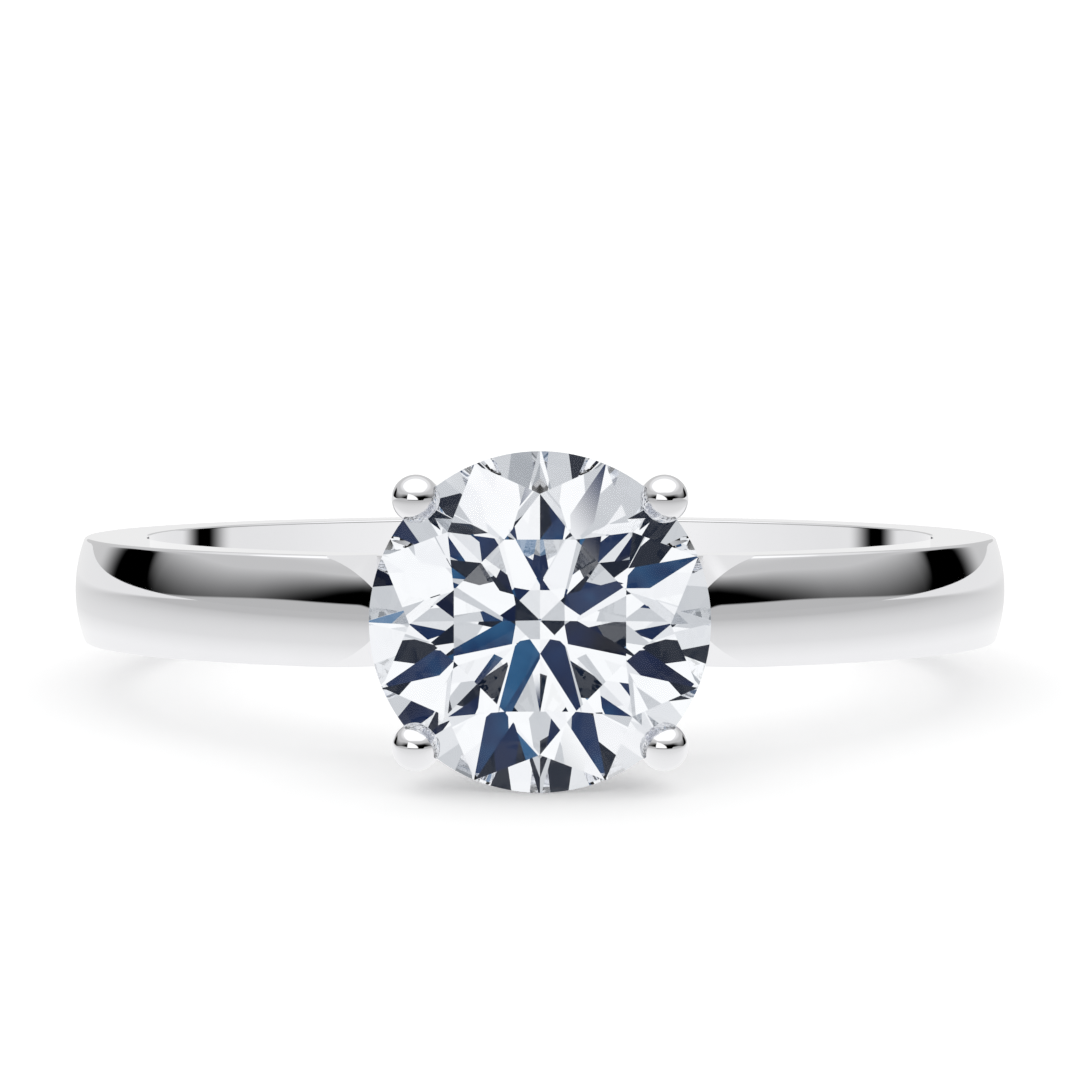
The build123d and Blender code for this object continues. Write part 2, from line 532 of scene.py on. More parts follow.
    def sparkle(self, tree: NodeTree, direction: NodeSocket) -> NodeSocket:
        """What the stone gathers from the room: a window, the dark around the camera, broken whites.

        Args:
            tree: The world's tree.
            direction: The direction looked in.

        Returns:
            Its colour.
        """
        axes = add_node(tree, "ShaderNodeSeparateXYZ", {}, {0: direction})
        toward = maths(tree, "MULTIPLY", axes.outputs["Y"], -1.0)
        off = maths(tree, "MULTIPLY", maths(tree, "ARCCOSINE", toward), math.degrees(1))
        x, z = axes.outputs["X"], axes.outputs["Z"]
        flat = maths(tree, "SQRT", squares(tree, x, z))
        spread = maths(tree, "DIVIDE", off, maths(tree, "MAXIMUM", flat, 1e-4))
        across, up = maths(tree, "MULTIPLY", x, spread), maths(tree, "MULTIPLY", z, spread)
        cells = add_node(
            tree,
            "ShaderNodeTexVoronoi",
            {"feature": "F1"},
            {"Vector": direction, "Scale": self.shard_scale},
        )
        pick = add_node(tree, "ShaderNodeSeparateColor", {}, {0: cells.outputs["Color"]})
        whites = self.tones(
            tree,
            pick.outputs[0],
            (
                (0.0, "#ffffff"), (0.38, "#f8f8f9"), (0.58, "#e6e7e9"), (0.74, "#cdcfd2"),
                (0.84, "#a9adb2"), (0.90, "#6f8cab"), (0.93, "#2a4a70"), (0.96, "#141d2d"),
            ),
            True,
        )
        mottle = add_node(
            tree,
            "ShaderNodeTexNoise",
            {},
            {"Vector": direction, "Scale": self.mottle_scale, "Detail": 5.0, "Roughness": 0.65},
        )
        darks = self.tones(
            tree,
            mottle.outputs[0],
            (
                (0.34, "#0a0f1e"), (0.44, "#112042"), (0.53, "#193158"), (0.60, "#2a5880"),
                (0.70, "#426f99"),
            ),
            False,
        )
        dark = maths(
            tree,
            "MAXIMUM",
            self.oval(tree, across, up, (-2.0, -3.2), (21.0, 8.3)),
            self.oval(tree, across, up, (7.0, -2.0), (10.2, 12.5)),
        )
        dark = maths(tree, "MAXIMUM", dark, self.oval(tree, across, up, (-31.3, 5.0), (4.2, 14.5)))
        colour = self.tint(tree, whites, darks, dark)
        pane = maths(
            tree,
            "MULTIPLY",
            self.oval(tree, across, up, (-29.0, -2.6), (28.5, 31.0)),
            maths(tree, "MULTIPLY", ease(tree, across, -29.3, -28.7), ease(tree, up, -2.9, -1.9)),
        )
        return self.tint(tree, colour, linear("#ffffff"), pane)

    def hang_light(self) -> None:
        """Fills the world with soft studio light: bright overhead, dark screens near the table."""
        world = bpy.data.worlds.new("soft_studio")
        bpy.context.scene.world = world
        world.use_nodes = True
        tree = world.node_tree
        tree.nodes.clear()
        output = tree.nodes.new("ShaderNodeOutputWorld")
        ray = add_node(tree, "ShaderNodeTexCoord")
        level = add_node(
            tree,
            "ShaderNodeVectorRotate",
            {"rotation_type": "X_AXIS"},
            {"Vector": ray.outputs["Generated"], "Angle": -self.tilt()},
        )
        axes = add_node(tree, "ShaderNodeSeparateXYZ", {}, {0: level.outputs[0]})
        rise = maths(tree, "MULTIPLY", maths(tree, "ARCSINE", axes.outputs["Z"]), math.degrees(1))
        forward = maths(tree, "MULTIPLY", axes.outputs["Y"], -1.0)
        bearing = maths(
            tree, "MULTIPLY", maths(tree, "ARCTAN2", axes.outputs["X"], forward), math.degrees(1)
        )
        side = maths(tree, "ABSOLUTE", bearing)
        light = self.screens(tree, side, rise)
        light = self.blend(tree, light, self.ceiling_light, ease(tree, rise, 28.0, 42.0))
        risen = ease(tree, side, 35.0, 45.0, 0.0, self.brim_deg)
        fallen = ease(tree, side, 60.0, 112.0, 0.0, self.brim_deg)
        brim = maths(tree, "SUBTRACT", risen, fallen)
        light = self.blend(tree, light, self.brim_light, self.below(tree, rise, brim))
        light = self.softbox(tree, axes, light)
        light = self.window(tree, bearing, rise, light)
        path = add_node(tree, "ShaderNodeLightPath")
        seen = maths(tree, "MAXIMUM", light, maths(tree, "MULTIPLY", path.outputs["Is Camera Ray"], 1.2))
        grey = add_node(tree, "ShaderNodeCombineColor", {}, {0: seen, 1: seen, 2: seen})
        colour = add_node(
            tree,
            "ShaderNodeMix",
            {"data_type": "RGBA"},
            {
                "Factor": path.outputs["Is Transmission Ray"],
                "A": grey.outputs[0],
                "B": self.sparkle(tree, ray.outputs["Generated"]),
            },
        )
        air = add_node(tree, "ShaderNodeBackground", {}, {"Color": colour.outputs[2], "Strength": 1.0})
        tree.links.new(air.outputs[0], output.inputs[0])

    def line_hole(self) -> Object:
        """Stands a light sleeve in the finger hole, which only the polished metal sees."""
        fresh_start()
        bpy.ops.mesh.primitive_cylinder_add(
            vertices=128,
            radius=self.sleeve_radius_mm * MM,
            depth=self.sleeve_height_mm * MM,
            end_fill_type="NOTHING",
        )
        sleeve = bpy.context.object
        sleeve.data.transform(Matrix.Translation((0, 0, self.sleeve_middle_mm * MM)))
        sleeve.name = "light_sleeve"
        bpy.ops.object.mode_set(mode="EDIT")
        bpy.ops.mesh.select_all(action="SELECT")
        bpy.ops.mesh.flip_normals()
        bpy.ops.object.mode_set(mode="OBJECT")
        material = bpy.data.materials.new("light_sleeve")
        tree, output = blank_tree(material)
        place = add_node(tree, "ShaderNodeTexCoord")
        axes = add_node(tree, "ShaderNodeSeparateXYZ", {}, {0: place.outputs["Object"]})
        around = maths(
            tree,
            "MULTIPLY",
            maths(tree, "ABSOLUTE", maths(tree, "ARCTAN2", axes.outputs["X"], axes.outputs["Y"])),
            math.degrees(1),
        )
        glow = ease(tree, around, 30.0, 130.0, 0.86, 0.97)
        glow = maths(tree, "MULTIPLY", glow, ease(tree, around, 4.0, 22.0))
        lit = add_node(tree, "ShaderNodeEmission", {}, {"Strength": glow})
        clear = add_node(tree, "ShaderNodeBsdfTransparent")
        facing = add_node(tree, "ShaderNodeNewGeometry")
        both = add_node(
            tree,
            "ShaderNodeMixShader",
            {},
            {0: facing.outputs["Backfacing"], 1: lit.outputs[0], 2: clear.outputs[0]},
        )
        tree.links.new(both.outputs[0], output.inputs[0])
        sleeve.data.materials.append(material)
        sleeve.visible_camera = False
        sleeve.visible_diffuse = False
        sleeve.visible_transmission = False
        sleeve.visible_shadow = False
        return sleeve

    def place_camera(self) -> Object:
        """Stands the camera in front of the stone, looking slightly down."""
        data = bpy.data.cameras.new("studio_camera")
        data.lens = self.lens_mm
        data.sensor_width = 36.0
        data.clip_start = 0.01
        data.clip_end = 5.0
        camera = bpy.data.objects.new("studio_camera", data)
        bpy.context.scene.collection.objects.link(camera)
        down = math.radians(self.look_down_deg + self.aim_drop_deg)
        reach = self.camera_distance_mm * MM
        camera.location = (0, -reach * math.cos(down), reach * math.sin(down))
        camera.rotation_euler = (math.radians(90 - self.look_down_deg), 0, 0)
        bpy.context.scene.camera = camera
        return camera

    def build(self) -> None:
        """Sets up the table, the light, the camera and how tones are shown."""
        self.lay_table()
        self.line_hole()
        self.hang_light()
        self.place_camera()
        scene = bpy.context.scene
        scene.view_settings.view_transform = "Standard"
        scene.cycles.max_bounces = 24
        scene.cycles.glossy_bounces = 12
        scene.cycles.transmission_bounces = 24
        scene.cycles.transparent_max_bounces = 24
        scene.cycles.caustics_reflective = True
        scene.cycles.caustics_refractive = True
        scene.cycles.use_denoising = True


class Side(Enum):
    """Which side of the head a claw stands on, as its signs along X and Z."""

    UPPER_LEFT = (-1, 1)
    UPPER_RIGHT = (1, 1)
    LOWER_LEFT = (-1, -1)
    LOWER_RIGHT = (1, -1)


def fresh_start() -> None:
    """Deselects everything, so that an operator meets only its own piece."""
    if bpy.context.object is not None and bpy.context.object.mode != "OBJECT":
        bpy.ops.object.mode_set(mode="OBJECT")
    bpy.ops.object.select_all(action="DESELECT")


def pick(piece: Object) -> None:
    """Selects one piece alone and makes it the active one.

    Args:
        piece: The piece.
    """
    fresh_start()
    piece.select_set(True)
    bpy.context.view_layer.objects.active = piece


def settle(piece: Object) -> None:
    """Moves a piece's place, turn and size into its mesh.

    Args:
        piece: The finished piece.
    """
    pick(piece)
    bpy.ops.object.transform_apply(location=True, rotation=True, scale=True)


def tidy(piece: Object, smooth_deg: float = 30.0) -> None:
    """Merges doubles, turns faces outwards and shades the piece smooth up to an angle.

    Args:
        piece: The piece.
        smooth_deg: Edges sharper than this stay sharp.
    """
    pick(piece)
    bpy.ops.object.mode_set(mode="EDIT")
    bpy.ops.mesh.select_all(action="SELECT")
    bpy.ops.mesh.remove_doubles(threshold=1e-7)
    bpy.ops.mesh.normals_make_consistent(inside=False)
    bpy.ops.object.mode_set(mode="OBJECT")
    bpy.ops.object.shade_smooth_by_angle(angle=math.radians(smooth_deg))


def boolean(piece: Object, tool: Object, operation: str, keep_tool: bool = True) -> None:
    """Cuts or joins a piece with a tool and applies it.

    Args:
        piece: The piece that changes.
        tool: The solid it is cut or joined with.
        operation: DIFFERENCE or UNION.
        keep_tool: False removes the tool afterwards.
    """
    pick(piece)
    cut = piece.modifiers.new("cut", "BOOLEAN")
    cut.object = tool
    cut.operation = operation
    cut.solver = "EXACT"
    bpy.ops.object.modifier_apply(modifier=cut.name)
    if not keep_tool:
        bpy.data.objects.remove(tool)


def mirror_copy(piece: Object, side: Side) -> Object:
    """Copies a piece with a mesh of its own and mirrors it to one side of the head.

    Args:
        piece: The piece, made on the upper right.
        side: Where the copy goes.

    Returns:
        The copy.
    """
    copy = piece.copy()
    copy.data = piece.data.copy()
    bpy.context.scene.collection.objects.link(copy)
    copy.data.transform(Matrix.Diagonal((side.value[0], 1, side.value[1], 1)))
    return copy


def draw_block(wide: float, high: float, middle: tuple[float, float, float]) -> Object:
    """Draws an upright rectangle in the XZ plane and leaves it in edit mode.

    Args:
        wide: Its size along X, in mm.
        high: Its size along Z, in mm.
        middle: Its centre, in mm.

    Returns:
        The rectangle.
    """
    fresh_start()
    bpy.ops.mesh.primitive_plane_add(size=1)
    block = bpy.context.object
    bpy.ops.object.mode_set(mode="EDIT")
    bpy.ops.mesh.select_all(action="SELECT")
    bpy.ops.transform.rotate(value=math.radians(90), orient_axis="X", center_override=(0, 0, 0))
    bpy.ops.transform.resize(value=(wide, 1, high))
    bpy.ops.transform.translate(value=middle)
    return block


def steady_shading(piece: Object) -> None:
    """Weights a piece's shading by the size of its faces, so that broad faces stay true to their form.

    Args:
        piece: The piece.
    """
    pick(piece)
    weigh = piece.modifiers.new("weigh", "WEIGHTED_NORMAL")
    weigh.keep_sharp = True
    weigh.weight = 80
    bpy.ops.object.modifier_apply(modifier=weigh.name)


def finish_piece(
    piece: Object, name: str, material: Material, nodes: tuple[str, ...], slot: str
) -> None:
    """Names, dresses and ties a finished piece to the model.

    Args:
        piece: The piece.
        name: Its name.
        material: Its finish.
        nodes: The CAD nodes it stands for.
        slot: The record's material slot it belongs to.
    """
    if slot == "polished_metal":
        steady_shading(piece)
    piece.name = name
    piece.data.materials.clear()
    piece.data.materials.append(material)
    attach(piece, "root")
    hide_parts(*nodes)
    LOG.info("made %s, %d faces", name, len(piece.data.polygons))


@dataclass
class Shank:
    """The open band: a court section swept round, its shoulders filed to a narrow crown."""

    finger_radius: float = 8.25
    width: float = 2.2
    thickness: float = 1.5
    crown_rise: float = 0.2
    edge_radius: float = 0.06
    inner_edge: float = 0.05
    half_gap: float = 3.2
    crown_at_head: float = 0.8
    scoop_length: float = 1.4
    scoop_radius: float = 2.23
    flank_length: float = 3.4
    land: float = 0.12
    edge_steps: int = 10
    inner_steps: int = 8
    crown_cuts: int = 47
    side_cuts: int = 11
    scoop_steps: int = 40
    overlap_deg: float = 2.0
    crease_deg: float = 22.0
    turns: int = 420

    def outer(self) -> float:
        """Radius of the band at the middle of its crown."""
        return self.finger_radius + self.thickness

    def shoulder_deg(self) -> float:
        """Angle about the hole's axis at which the shank meets the head, on the crown."""
        return math.degrees(math.asin(self.half_gap / self.outer()))

    def draw_section(self) -> Object:
        """Draws the court section on the head's right, inside the gap, ready to be spun."""
        side = self.thickness - self.crown_rise
        section = draw_block(side, self.width, (self.finger_radius + side / 2, 0, 0))
        self.round_corners(section, outer=True, radius=self.edge_radius, segments=self.edge_steps)
        self.round_corners(section, outer=False, radius=self.inner_edge, segments=self.inner_steps)
        self.cut_edges(section, across=True, cuts=self.crown_cuts)
        self.cut_edges(section, across=False, cuts=self.side_cuts)
        self.raise_crown(section)
        bpy.ops.object.mode_set(mode="OBJECT")
        start = self.shoulder_deg() - (90 + self.overlap_deg)
        section.data.transform(Matrix.Rotation(math.radians(start), 4, "Z"))
        return section

    def select_verts(self, piece: Object, test: object) -> int:
        """Selects the vertices that pass a test, in vertex mode, and leaves edit mode on.

        Args:
            piece: The piece in edit mode.
            test: Takes a vertex's place and says whether it is chosen.

        Returns:
            How many were chosen.
        """
        bpy.ops.mesh.select_mode(type="VERT")
        bpy.ops.mesh.select_all(action="DESELECT")
        bpy.ops.object.mode_set(mode="OBJECT")
        count = 0
        for vert in piece.data.vertices:
            vert.select = test(vert.co)
            count += vert.select
        bpy.ops.object.mode_set(mode="EDIT")
        return count

    def round_corners(self, section: Object, outer: bool, radius: float, segments: int) -> None:
        """Rounds the two corners of the section on its crown or its bore side.

        Args:
            section: The section in edit mode.
            outer: True for the crown's corners.
            radius: Their radius in mm.
            segments: Steps of each rounding.
        """
        middle = self.finger_radius + self.thickness / 2
        self.select_verts(section, lambda co: (co.x > middle) == outer)
        bpy.ops.mesh.bevel(
            offset=radius, offset_type="OFFSET", segments=segments, affect="VERTICES", profile=0.5
        )

    def cut_edges(self, section: Object, across: bool, cuts: int) -> None:
        """Divides the section's long edges, so that the crown and the sides can curve.

        Args:
            section: The section in edit mode.
            across: True for the crown's edge, false for the two side edges.
            cuts: Cuts along each edge.
        """
        bpy.ops.mesh.select_mode(type="EDGE")
        bpy.ops.mesh.select_all(action="DESELECT")
        bpy.ops.object.mode_set(mode="OBJECT")
        middle = self.finger_radius + self.thickness / 2
        for edge in section.data.edges:
            start, stop = (section.data.vertices[i].co for i in edge.vertices)
            long_across = abs(start.z - stop.z) > self.width / 2 and start.x > middle
            long_side = abs(start.x - stop.x) > self.thickness / 2
            edge.select = long_across if across else long_side
        bpy.ops.object.mode_set(mode="EDIT")
        bpy.ops.mesh.subdivide(number_cuts=cuts)

    def raise_crown(self, section: Object) -> None:
        """Arches the crown side of the section.

        Args:
            section: The section in edit mode.
        """
        bpy.ops.object.mode_set(mode="OBJECT")
        half = self.width / 2
        arch = (half**2 + self.crown_rise**2) / (2 * self.crown_rise)
        start = self.finger_radius + self.thickness / 2
        for vert in section.data.vertices:
            share = min(max((vert.co.x - start) / (self.thickness / 2 - self.crown_rise), 0), 1)
            lift = math.sqrt(arch**2 - vert.co.z**2) - (arch - self.crown_rise)
            vert.co.x += lift * share
        bpy.ops.object.mode_set(mode="EDIT")

    def spin(self, section: Object, arc_deg: float, turns: int) -> None:
        """Spins a section about the finger hole's axis.

        Args:
            section: The section, a single face.
            arc_deg: How far it is spun.
            turns: Steps of the spin.
        """
        pick(section)
        bpy.ops.object.mode_set(mode="EDIT")
        bpy.ops.mesh.select_all(action="SELECT")
        bpy.ops.mesh.spin(
            steps=turns, angle=-math.radians(arc_deg), center=(0, 0, 0), axis=(0, 0, 1), dupli=False
        )
        bpy.ops.object.mode_set(mode="OBJECT")

    def flank_line(self, along: float, low: float) -> float:
        """Height of the flank's lower edge in the flank's own plane, in mm.

        Args:
            along: Distance from the head.
            low: Its height at the head.

        Returns:
            Its height there.
        """
        left = self.scoop_length - min(max(along, 0.0), self.scoop_length)
        return low + math.sqrt(self.scoop_radius**2 - left**2) - math.sqrt(
            self.scoop_radius**2 - self.scoop_length**2
        )

    def make_cutter(self) -> Object:
        """Makes the cutter that files the upper right flank."""
        half, crown = self.width / 2, self.crown_at_head / 2
        tilt = math.atan((half - crown) / (self.thickness - self.land))
        low = crown * math.cos(tilt)
        scoop = [self.scoop_length * step / self.scoop_steps for step in range(self.scoop_steps + 1)]
        stops = [-self.half_gap, *scoop, self.flank_length]
        fresh_start()
        bpy.ops.mesh.primitive_grid_add(x_subdivisions=len(stops) - 1, y_subdivisions=1, size=2)
        cutter = bpy.context.object
        for vert in cutter.data.vertices:
            column = round((vert.co.x + 1) / 2 * (len(stops) - 1))
            along = stops[column]
            height = self.flank_line(along, low) if vert.co.y < 0 else low + 2 * self.width
            vert.co = (along, height, -2 * self.thickness)
        bpy.ops.object.mode_set(mode="EDIT")
        bpy.ops.mesh.select_all(action="SELECT")
        bpy.ops.mesh.extrude_region_move(TRANSFORM_OT_translate={"value": (0, 0, 4 * self.thickness)})
        bpy.ops.object.mode_set(mode="OBJECT")
        shoulder = math.radians(self.shoulder_deg())
        out = Vector((math.sin(shoulder), -math.cos(shoulder), 0))
        along = Vector((math.cos(shoulder), math.sin(shoulder), 0))
        deep = out * math.cos(tilt) - Vector((0, 0, math.sin(tilt)))
        frame_axes = Matrix((along, deep.cross(along), deep)).transposed().to_4x4()
        cutter.data.transform(Matrix.Translation(out * self.outer()) @ frame_axes)
        tidy(cutter)
        return cutter

    def file_flanks(self, band: Object) -> None:
        """Files the four shoulder flanks with one cutter and its mirror images.

        Args:
            band: The spun band.
        """
        first = self.make_cutter()
        for side in Side:
            cutter = mirror_copy(first, side)
            tidy(cutter)
            boolean(band, cutter, "DIFFERENCE", keep_tool=False)
        bpy.data.objects.remove(first)

    def build(self, metal: Material) -> None:
        """Builds the shank.

        Args:
            metal: Its finish.
        """
        band = self.draw_section()
        self.spin(band, 360 - 2 * (self.shoulder_deg() - self.overlap_deg), self.turns)
        tidy(band)
        self.file_flanks(band)
        self.cut_gap(band, keep_inside=False)
        band.data.transform(Matrix.Scale(MM, 4))
        tidy(band, self.crease_deg)
        finish_piece(band, "polished_shank", metal, ("shank",), "polished_metal")

    def cut_gap(self, piece: Object, keep_inside: bool) -> None:
        """Cuts a spun piece along the two flat walls of the head's gap.

        Args:
            piece: The piece, in mm.
            keep_inside: True keeps what lies in the gap, false what lies outside it.
        """
        fresh_start()
        deep = 2 * self.outer()
        bpy.ops.mesh.primitive_cube_add(size=1, location=(0, -deep / 2, 0))
        block = bpy.context.object
        block.scale = (2 * self.half_gap, deep, 2 * self.width)
        settle(block)
        boolean(piece, block, "INTERSECT" if keep_inside else "DIFFERENCE", keep_tool=False)


@dataclass
class Bridge:
    """The block under the head: a pinched section between the shank's ends, with a round pocket."""

    finger_radius: float = 8.25
    thickness: float = 1.5
    inset: float = 0.05
    half_width: float = 1.1
    crown_half: float = 0.4
    half_arc_deg: float = 26.0
    floor: float = 8.75
    land: float = 0.12
    pocket_radius: float = 1.76
    pocket_length: float = 4.0
    pocket_sides: int = 160
    turns: int = 96

    def build(self, metal: Material, shank: Shank, claws: list[Object]) -> None:
        """Builds the bridge.

        Args:
            metal: Its finish.
            shank: The shank it closes, whose tools it shares.
            claws: The claws whose feet it makes room for.
        """
        crown = self.thickness - 2 * self.inset
        wide, narrow = self.half_width - self.inset, self.crown_half - self.inset
        block = draw_block(self.land, 2 * wide, (self.finger_radius + self.land / 2, 0, 0))
        shank.select_verts(block, lambda co: co.x > self.finger_radius + self.land / 2)
        bpy.ops.mesh.extrude_region_move(TRANSFORM_OT_translate={"value": (crown - self.land, 0, 0)})
        bpy.ops.transform.resize(value=(1, 1, narrow / wide), center_override=(self.finger_radius, 0, 0))
        shank.select_verts(block, lambda co: co.x > self.finger_radius + crown / 2)
        bpy.ops.mesh.bevel(offset=0.8 * self.inset, offset_type="OFFSET", segments=6, affect="VERTICES")
        bpy.ops.mesh.select_all(action="SELECT")
        bpy.ops.mesh.dissolve_faces()
        bpy.ops.object.mode_set(mode="OBJECT")
        block.data.transform(Matrix.Rotation(math.radians(self.half_arc_deg - 90), 4, "Z"))
        shank.spin(block, -2 * self.half_arc_deg, self.turns)
        tidy(block)
        shank.cut_gap(block, keep_inside=True)
        fresh_start()
        bpy.ops.mesh.primitive_cylinder_add(
            vertices=self.pocket_sides,
            radius=self.pocket_radius,
            depth=self.pocket_length,
            location=(0, -self.floor - self.pocket_length / 2, 0),
            rotation=(math.radians(90), 0, 0),
        )
        pocket = bpy.context.object
        settle(pocket)
        boolean(block, pocket, "DIFFERENCE", keep_tool=False)
        block.data.transform(Matrix.Scale(MM, 4))
        for claw in claws:
            boolean(block, claw, "DIFFERENCE")
        tidy(block)
        finish_piece(block, "polished_bridge", metal, ("bridge",), "polished_metal")


@dataclass
class Stone:
    """A round brilliant, cut facet by facet from a round blank. Sizes in mm, angles in degrees."""

    radius: float = 3.25
    girdle_distance: float = 11.955
    girdle_thickness: float = 0.2
    table_share: float = 0.54
    crown_deg: float = 34.5
    pavilion_deg: float = 40.8
    star_share: float = 0.52
    lower_share: float = 0.78
    culet_radius: float = 0.03
    blank_sides: int = 128
    crease_deg: float = 3.5

    def point(self, radius: float, azimuth_deg: float, height: float) -> Vector:
        """A point of the stone in the ring's frame.

        Args:
            radius: Distance from the stone's axis.
            azimuth_deg: Angle about the axis.
            height: Height above the girdle's middle.

        Returns:
            The point, in mm.
        """
        turn = math.radians(azimuth_deg)
        return Vector((radius * math.cos(turn), -self.girdle_distance - height, radius * math.sin(turn)))

    def cut(self, points: tuple[Vector, Vector, Vector]) -> None:
        """Grinds one facet: cuts off all that stands proud of the plane through three points.

        Args:
            points: Three points of the facet.
        """
        normal = (points[1] - points[0]).cross(points[2] - points[0]).normalized()
        if normal.dot(points[0] - Vector((0, -self.girdle_distance, 0))) < 0:
            normal.negate()
        bpy.ops.mesh.select_all(action="SELECT")
        bpy.ops.mesh.bisect(
            plane_co=points[0], plane_no=normal, use_fill=True, clear_outer=True, threshold=1e-6
        )

    def facets(self) -> list[tuple[Vector, Vector, Vector]]:
        """Works out three points of every facet but the table and the culet."""
        crown, pavilion = math.radians(self.crown_deg), math.radians(self.pavilion_deg)
        half = self.girdle_thickness / 2
        cosine = math.cos(math.radians(22.5))
        table = self.radius * self.table_share
        inner = table * cosine
        star = inner + self.star_share * (self.radius - inner)
        star_height = half + (self.radius - star * cosine) * math.tan(crown)
        lower = self.radius * (1 - self.lower_share)
        lower_height = -half - (self.radius - lower * cosine) * math.tan(pavilion)
        top = self.table_height()
        halves = ((star_height, star, half), (lower_height, lower, -half))
        cuts = []
        for turn in range(8):
            at = turn * 45.0
            for side in (-22.5, 22.5):
                for height, radius, rim in halves:
                    cuts.append(
                        (
                            self.point(radius, at, height),
                            self.point(self.radius, at, rim),
                            self.point(self.radius, at + side, rim),
                        )
                    )
            cuts.append(
                (
                    self.point(table, at - 22.5, top),
                    self.point(table, at + 22.5, top),
                    self.point(star, at, star_height),
                )
            )
            for height, radius, rim in halves:
                cuts.append(
                    (
                        self.point(self.radius, at + 22.5, rim),
                        self.point(radius, at, height),
                        self.point(radius, at + 45.0, height),
                    )
                )
        return cuts

    def table_height(self) -> float:
        """Height of the table above the girdle's middle."""
        return self.girdle_thickness / 2 + self.radius * (1 - self.table_share) * math.tan(
            math.radians(self.crown_deg)
        )

    def culet_height(self) -> float:
        """Height of the culet, below the girdle's middle."""
        return -self.girdle_thickness / 2 - (self.radius - self.culet_radius) * math.tan(
            math.radians(self.pavilion_deg)
        )

    def build(self, diamond: Material) -> Object:
        """Cuts the stone.

        Args:
            diamond: Its finish.

        Returns:
            The stone.
        """
        fresh_start()
        top, bottom = self.table_height(), self.culet_height()
        bpy.ops.mesh.primitive_cylinder_add(
            vertices=self.blank_sides,
            radius=self.radius,
            depth=top - bottom,
            location=(0, -self.girdle_distance - (top + bottom) / 2, 0),
            rotation=(math.radians(90), 0, 0),
        )
        stone = bpy.context.object
        settle(stone)
        bpy.ops.object.mode_set(mode="EDIT")
        for points in self.facets():
            self.cut(points)
        bpy.ops.object.mode_set(mode="OBJECT")
        stone.data.transform(Matrix.Scale(MM, 4))
        tidy(stone, self.crease_deg)
        bpy.ops.object.shade_flat()
        finish_piece(stone, "cut_diamond", diamond, ("diamond",), "diamond")
        return stone


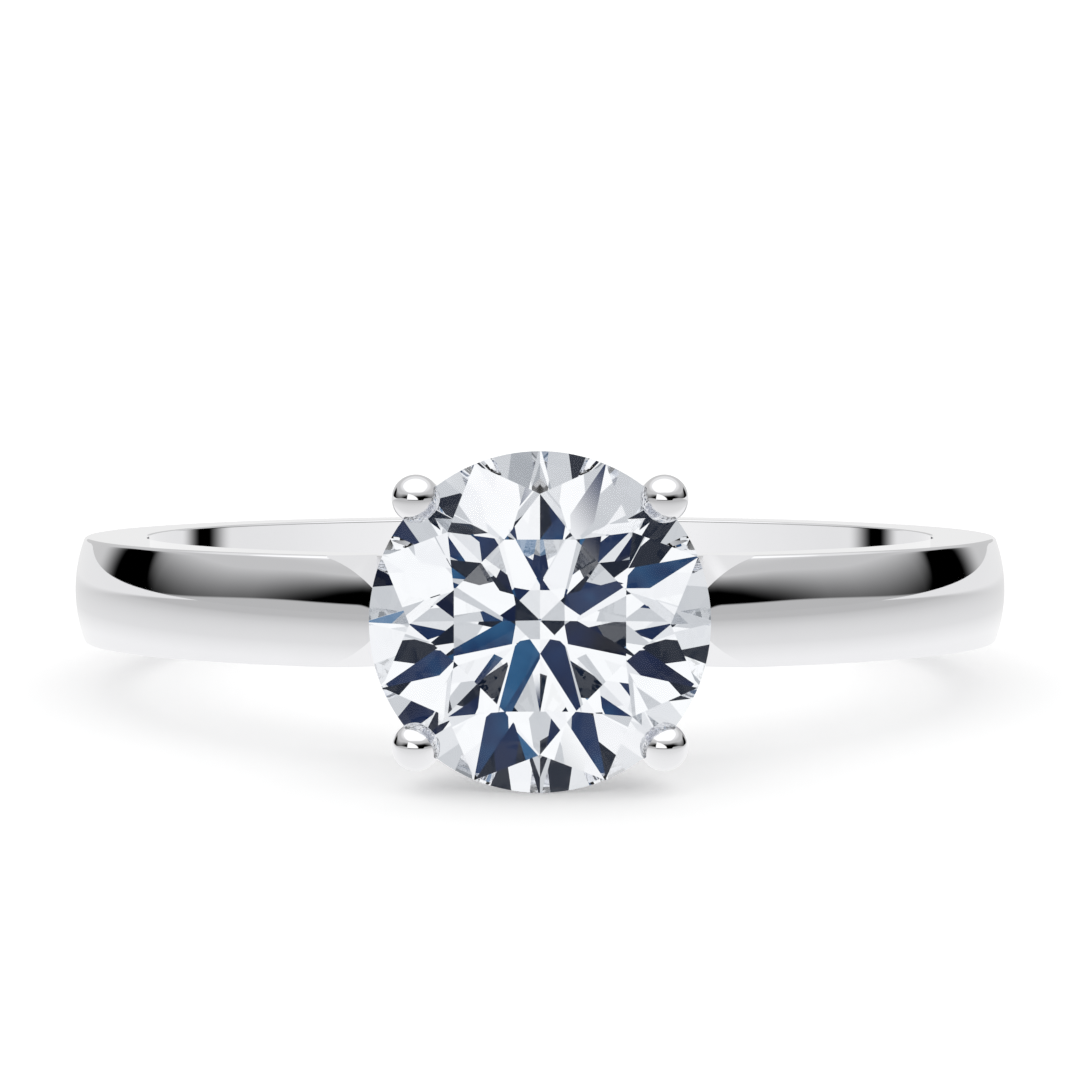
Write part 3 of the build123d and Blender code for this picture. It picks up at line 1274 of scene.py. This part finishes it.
@dataclass
class Basket:
    """The head: four ball-tipped wire claws on a notched base rail, with a gallery rail inside them."""

    floor: float = 8.75
    reach: float = 3.33
    girdle: float = 11.955
    wire_radius: float = 0.42
    ball_radius: float = 0.46
    ball_lead: float = 0.25
    straight: float = 0.42
    bend_radius: float = 1.2
    bend_deg: float = 42.0
    wire_sides: int = 64
    bend_steps: int = 28
    claw_azimuth: float = 45.0
    base_radius: float = 1.7
    base_hole: float = 0.45
    base_height: float = 0.5
    base_rim: float = 0.05
    gallery_radius: float = 2.227
    gallery_wire: float = 0.3
    gallery_drop: float = 1.4455

    def stand(self, piece: Object, azimuth_deg: float) -> None:
        """Turns a piece made with its axis up onto the head, at an angle about the stone's axis.

        Args:
            piece: The piece, in mm, its +Z towards the table and +X outwards.
            azimuth_deg: Where +X goes, about the stone's axis.
        """
        turn = math.radians(azimuth_deg)
        cosine, sine = math.cos(turn), math.sin(turn)
        columns = Matrix(((cosine, -sine, 0, 0), (0, 0, -1, 0), (sine, cosine, 0, 0), (0, 0, 0, 1)))
        piece.data.transform(columns)

    def bend_wire(self) -> Object:
        """Bends one claw from the ball back to its foot, its axis up and its reach along +X."""
        fresh_start()
        top = self.girdle + self.ball_lead
        bpy.ops.mesh.primitive_circle_add(
            vertices=self.wire_sides,
            radius=self.wire_radius,
            fill_type="NGON",
            location=(self.reach, 0, top),
        )
        wire = bpy.context.object
        settle(wire)
        bpy.ops.object.mode_set(mode="EDIT")
        bpy.ops.mesh.select_all(action="SELECT")
        down = self.ball_lead + self.straight
        bpy.ops.mesh.extrude_region_move(TRANSFORM_OT_translate={"value": (0, 0, -down)})
        bpy.ops.mesh.spin(
            steps=self.bend_steps,
            angle=-math.radians(self.bend_deg),
            center=(self.reach - self.bend_radius, 0, top - down),
            axis=(0, 1, 0),
            dupli=False,
        )
        bend = math.radians(self.bend_deg)
        fall = top - down - self.bend_radius * math.sin(bend) - self.floor
        run = fall / math.cos(bend) + self.wire_radius
        bpy.ops.mesh.extrude_region_move(
            TRANSFORM_OT_translate={"value": (-run * math.sin(bend), 0, -run * math.cos(bend))}
        )
        bpy.ops.mesh.select_all(action="SELECT")
        bpy.ops.mesh.bisect(
            plane_co=(0, 0, self.floor),
            plane_no=(0, 0, -1),
            use_fill=True,
            clear_outer=True,
            threshold=1e-6,
        )
        bpy.ops.object.mode_set(mode="OBJECT")
        tidy(wire, 40)
        fresh_start()
        bpy.ops.mesh.primitive_uv_sphere_add(
            segments=96, ring_count=64, radius=self.ball_radius, location=(self.reach, 0, top)
        )
        ball = bpy.context.object
        settle(ball)
        tidy(ball, 60)
        boolean(wire, ball, "UNION", keep_tool=False)
        return wire

    def build_claws(self, metal: Material, stone: Object) -> list[Object]:
        """Makes one claw, seats it on the stone and copies it to the other three places.

        Args:
            metal: Their finish.
            stone: The stone, which cuts the bearing.

        Returns:
            The four claws.
        """
        first = self.bend_wire()
        self.stand(first, self.claw_azimuth)
        first.data.transform(Matrix.Scale(MM, 4))
        boolean(first, stone, "DIFFERENCE")
        claws = []
        for side in Side:
            claw = mirror_copy(first, side)
            tidy(claw, 45)
            where = side.name.lower()
            finish_piece(claw, f"ball_claw_{where}", metal, (f"claw_{where}",), "polished_metal")
            claws.append(claw)
        bpy.data.objects.remove(first)
        return claws

    def build_base(self, metal: Material, claws: list[Object]) -> None:
        """Turns the base rail, a thick washer with eased rims, and notches it for the claws.

        Args:
            metal: Its finish.
            claws: The claws that stand in its notches.
        """
        wall = self.base_radius - self.base_hole
        middle = (self.base_hole + wall / 2, 0, self.floor + self.base_height / 2)
        washer = draw_block(wall, self.base_height, middle)
        bpy.ops.mesh.bevel(offset=self.base_rim, offset_type="OFFSET", segments=5, affect="VERTICES")
        bpy.ops.mesh.select_all(action="SELECT")
        bpy.ops.mesh.delete(type="ONLY_FACE")
        bpy.ops.mesh.select_all(action="SELECT")
        bpy.ops.mesh.spin(steps=144, angle=math.tau, center=(0, 0, 0), axis=(0, 0, 1), dupli=False)
        bpy.ops.object.mode_set(mode="OBJECT")
        tidy(washer)
        self.stand(washer, 0.0)
        washer.data.transform(Matrix.Scale(MM, 4))
        tidy(washer)
        for claw in claws:
            boolean(washer, claw, "DIFFERENCE")
        tidy(washer)
        finish_piece(washer, "polished_base_rail", metal, ("base_rail",), "polished_metal")

    def build_gallery(self, metal: Material, claws: list[Object]) -> None:
        """Bends the gallery rail, a round hoop, and notches it for the claws.

        Args:
            metal: Its finish.
            claws: The claws it is let into.
        """
        fresh_start()
        bpy.ops.mesh.primitive_torus_add(
            major_segments=192,
            minor_segments=48,
            major_radius=self.gallery_radius,
            minor_radius=self.gallery_wire,
            location=(0, 0, self.girdle - self.gallery_drop),
        )
        hoop = bpy.context.object
        settle(hoop)
        self.stand(hoop, 0.0)
        hoop.data.transform(Matrix.Scale(MM, 4))
        tidy(hoop, 60)
        for claw in claws:
            boolean(hoop, claw, "DIFFERENCE")
        tidy(hoop, 50)
        finish_piece(hoop, "polished_gallery_rail", metal, ("gallery_rail",), "polished_metal")

    def build(self, metal: Material, stone: Object) -> list[Object]:
        """Builds the claws and both rails.

        Args:
            metal: Their finish.
            stone: The stone they hold.

        Returns:
            The claws.
        """
        claws = self.build_claws(metal, stone)
        self.build_base(metal, claws)
        self.build_gallery(metal, claws)
        return claws


def main() -> None:
    """Builds the finishes, the ring's pieces and the studio, in order."""
    logging.basicConfig(level=logging.INFO)
    metal = RhodiumPolish().make()
    diamond = ColourlessDiamond().make()
    for name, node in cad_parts.items():
        node.data.materials.clear()
        node.data.materials.append(diamond if name == "diamond" else metal)
        LOG.info("dressed %s", name)
    shank = Shank()
    shank.build(metal)
    stone = Stone().build(diamond)
    claws = Basket().build(metal, stone)
    Bridge().build(metal, shank, claws)
    Studio().build()


if __name__ == "__main__":
    main()
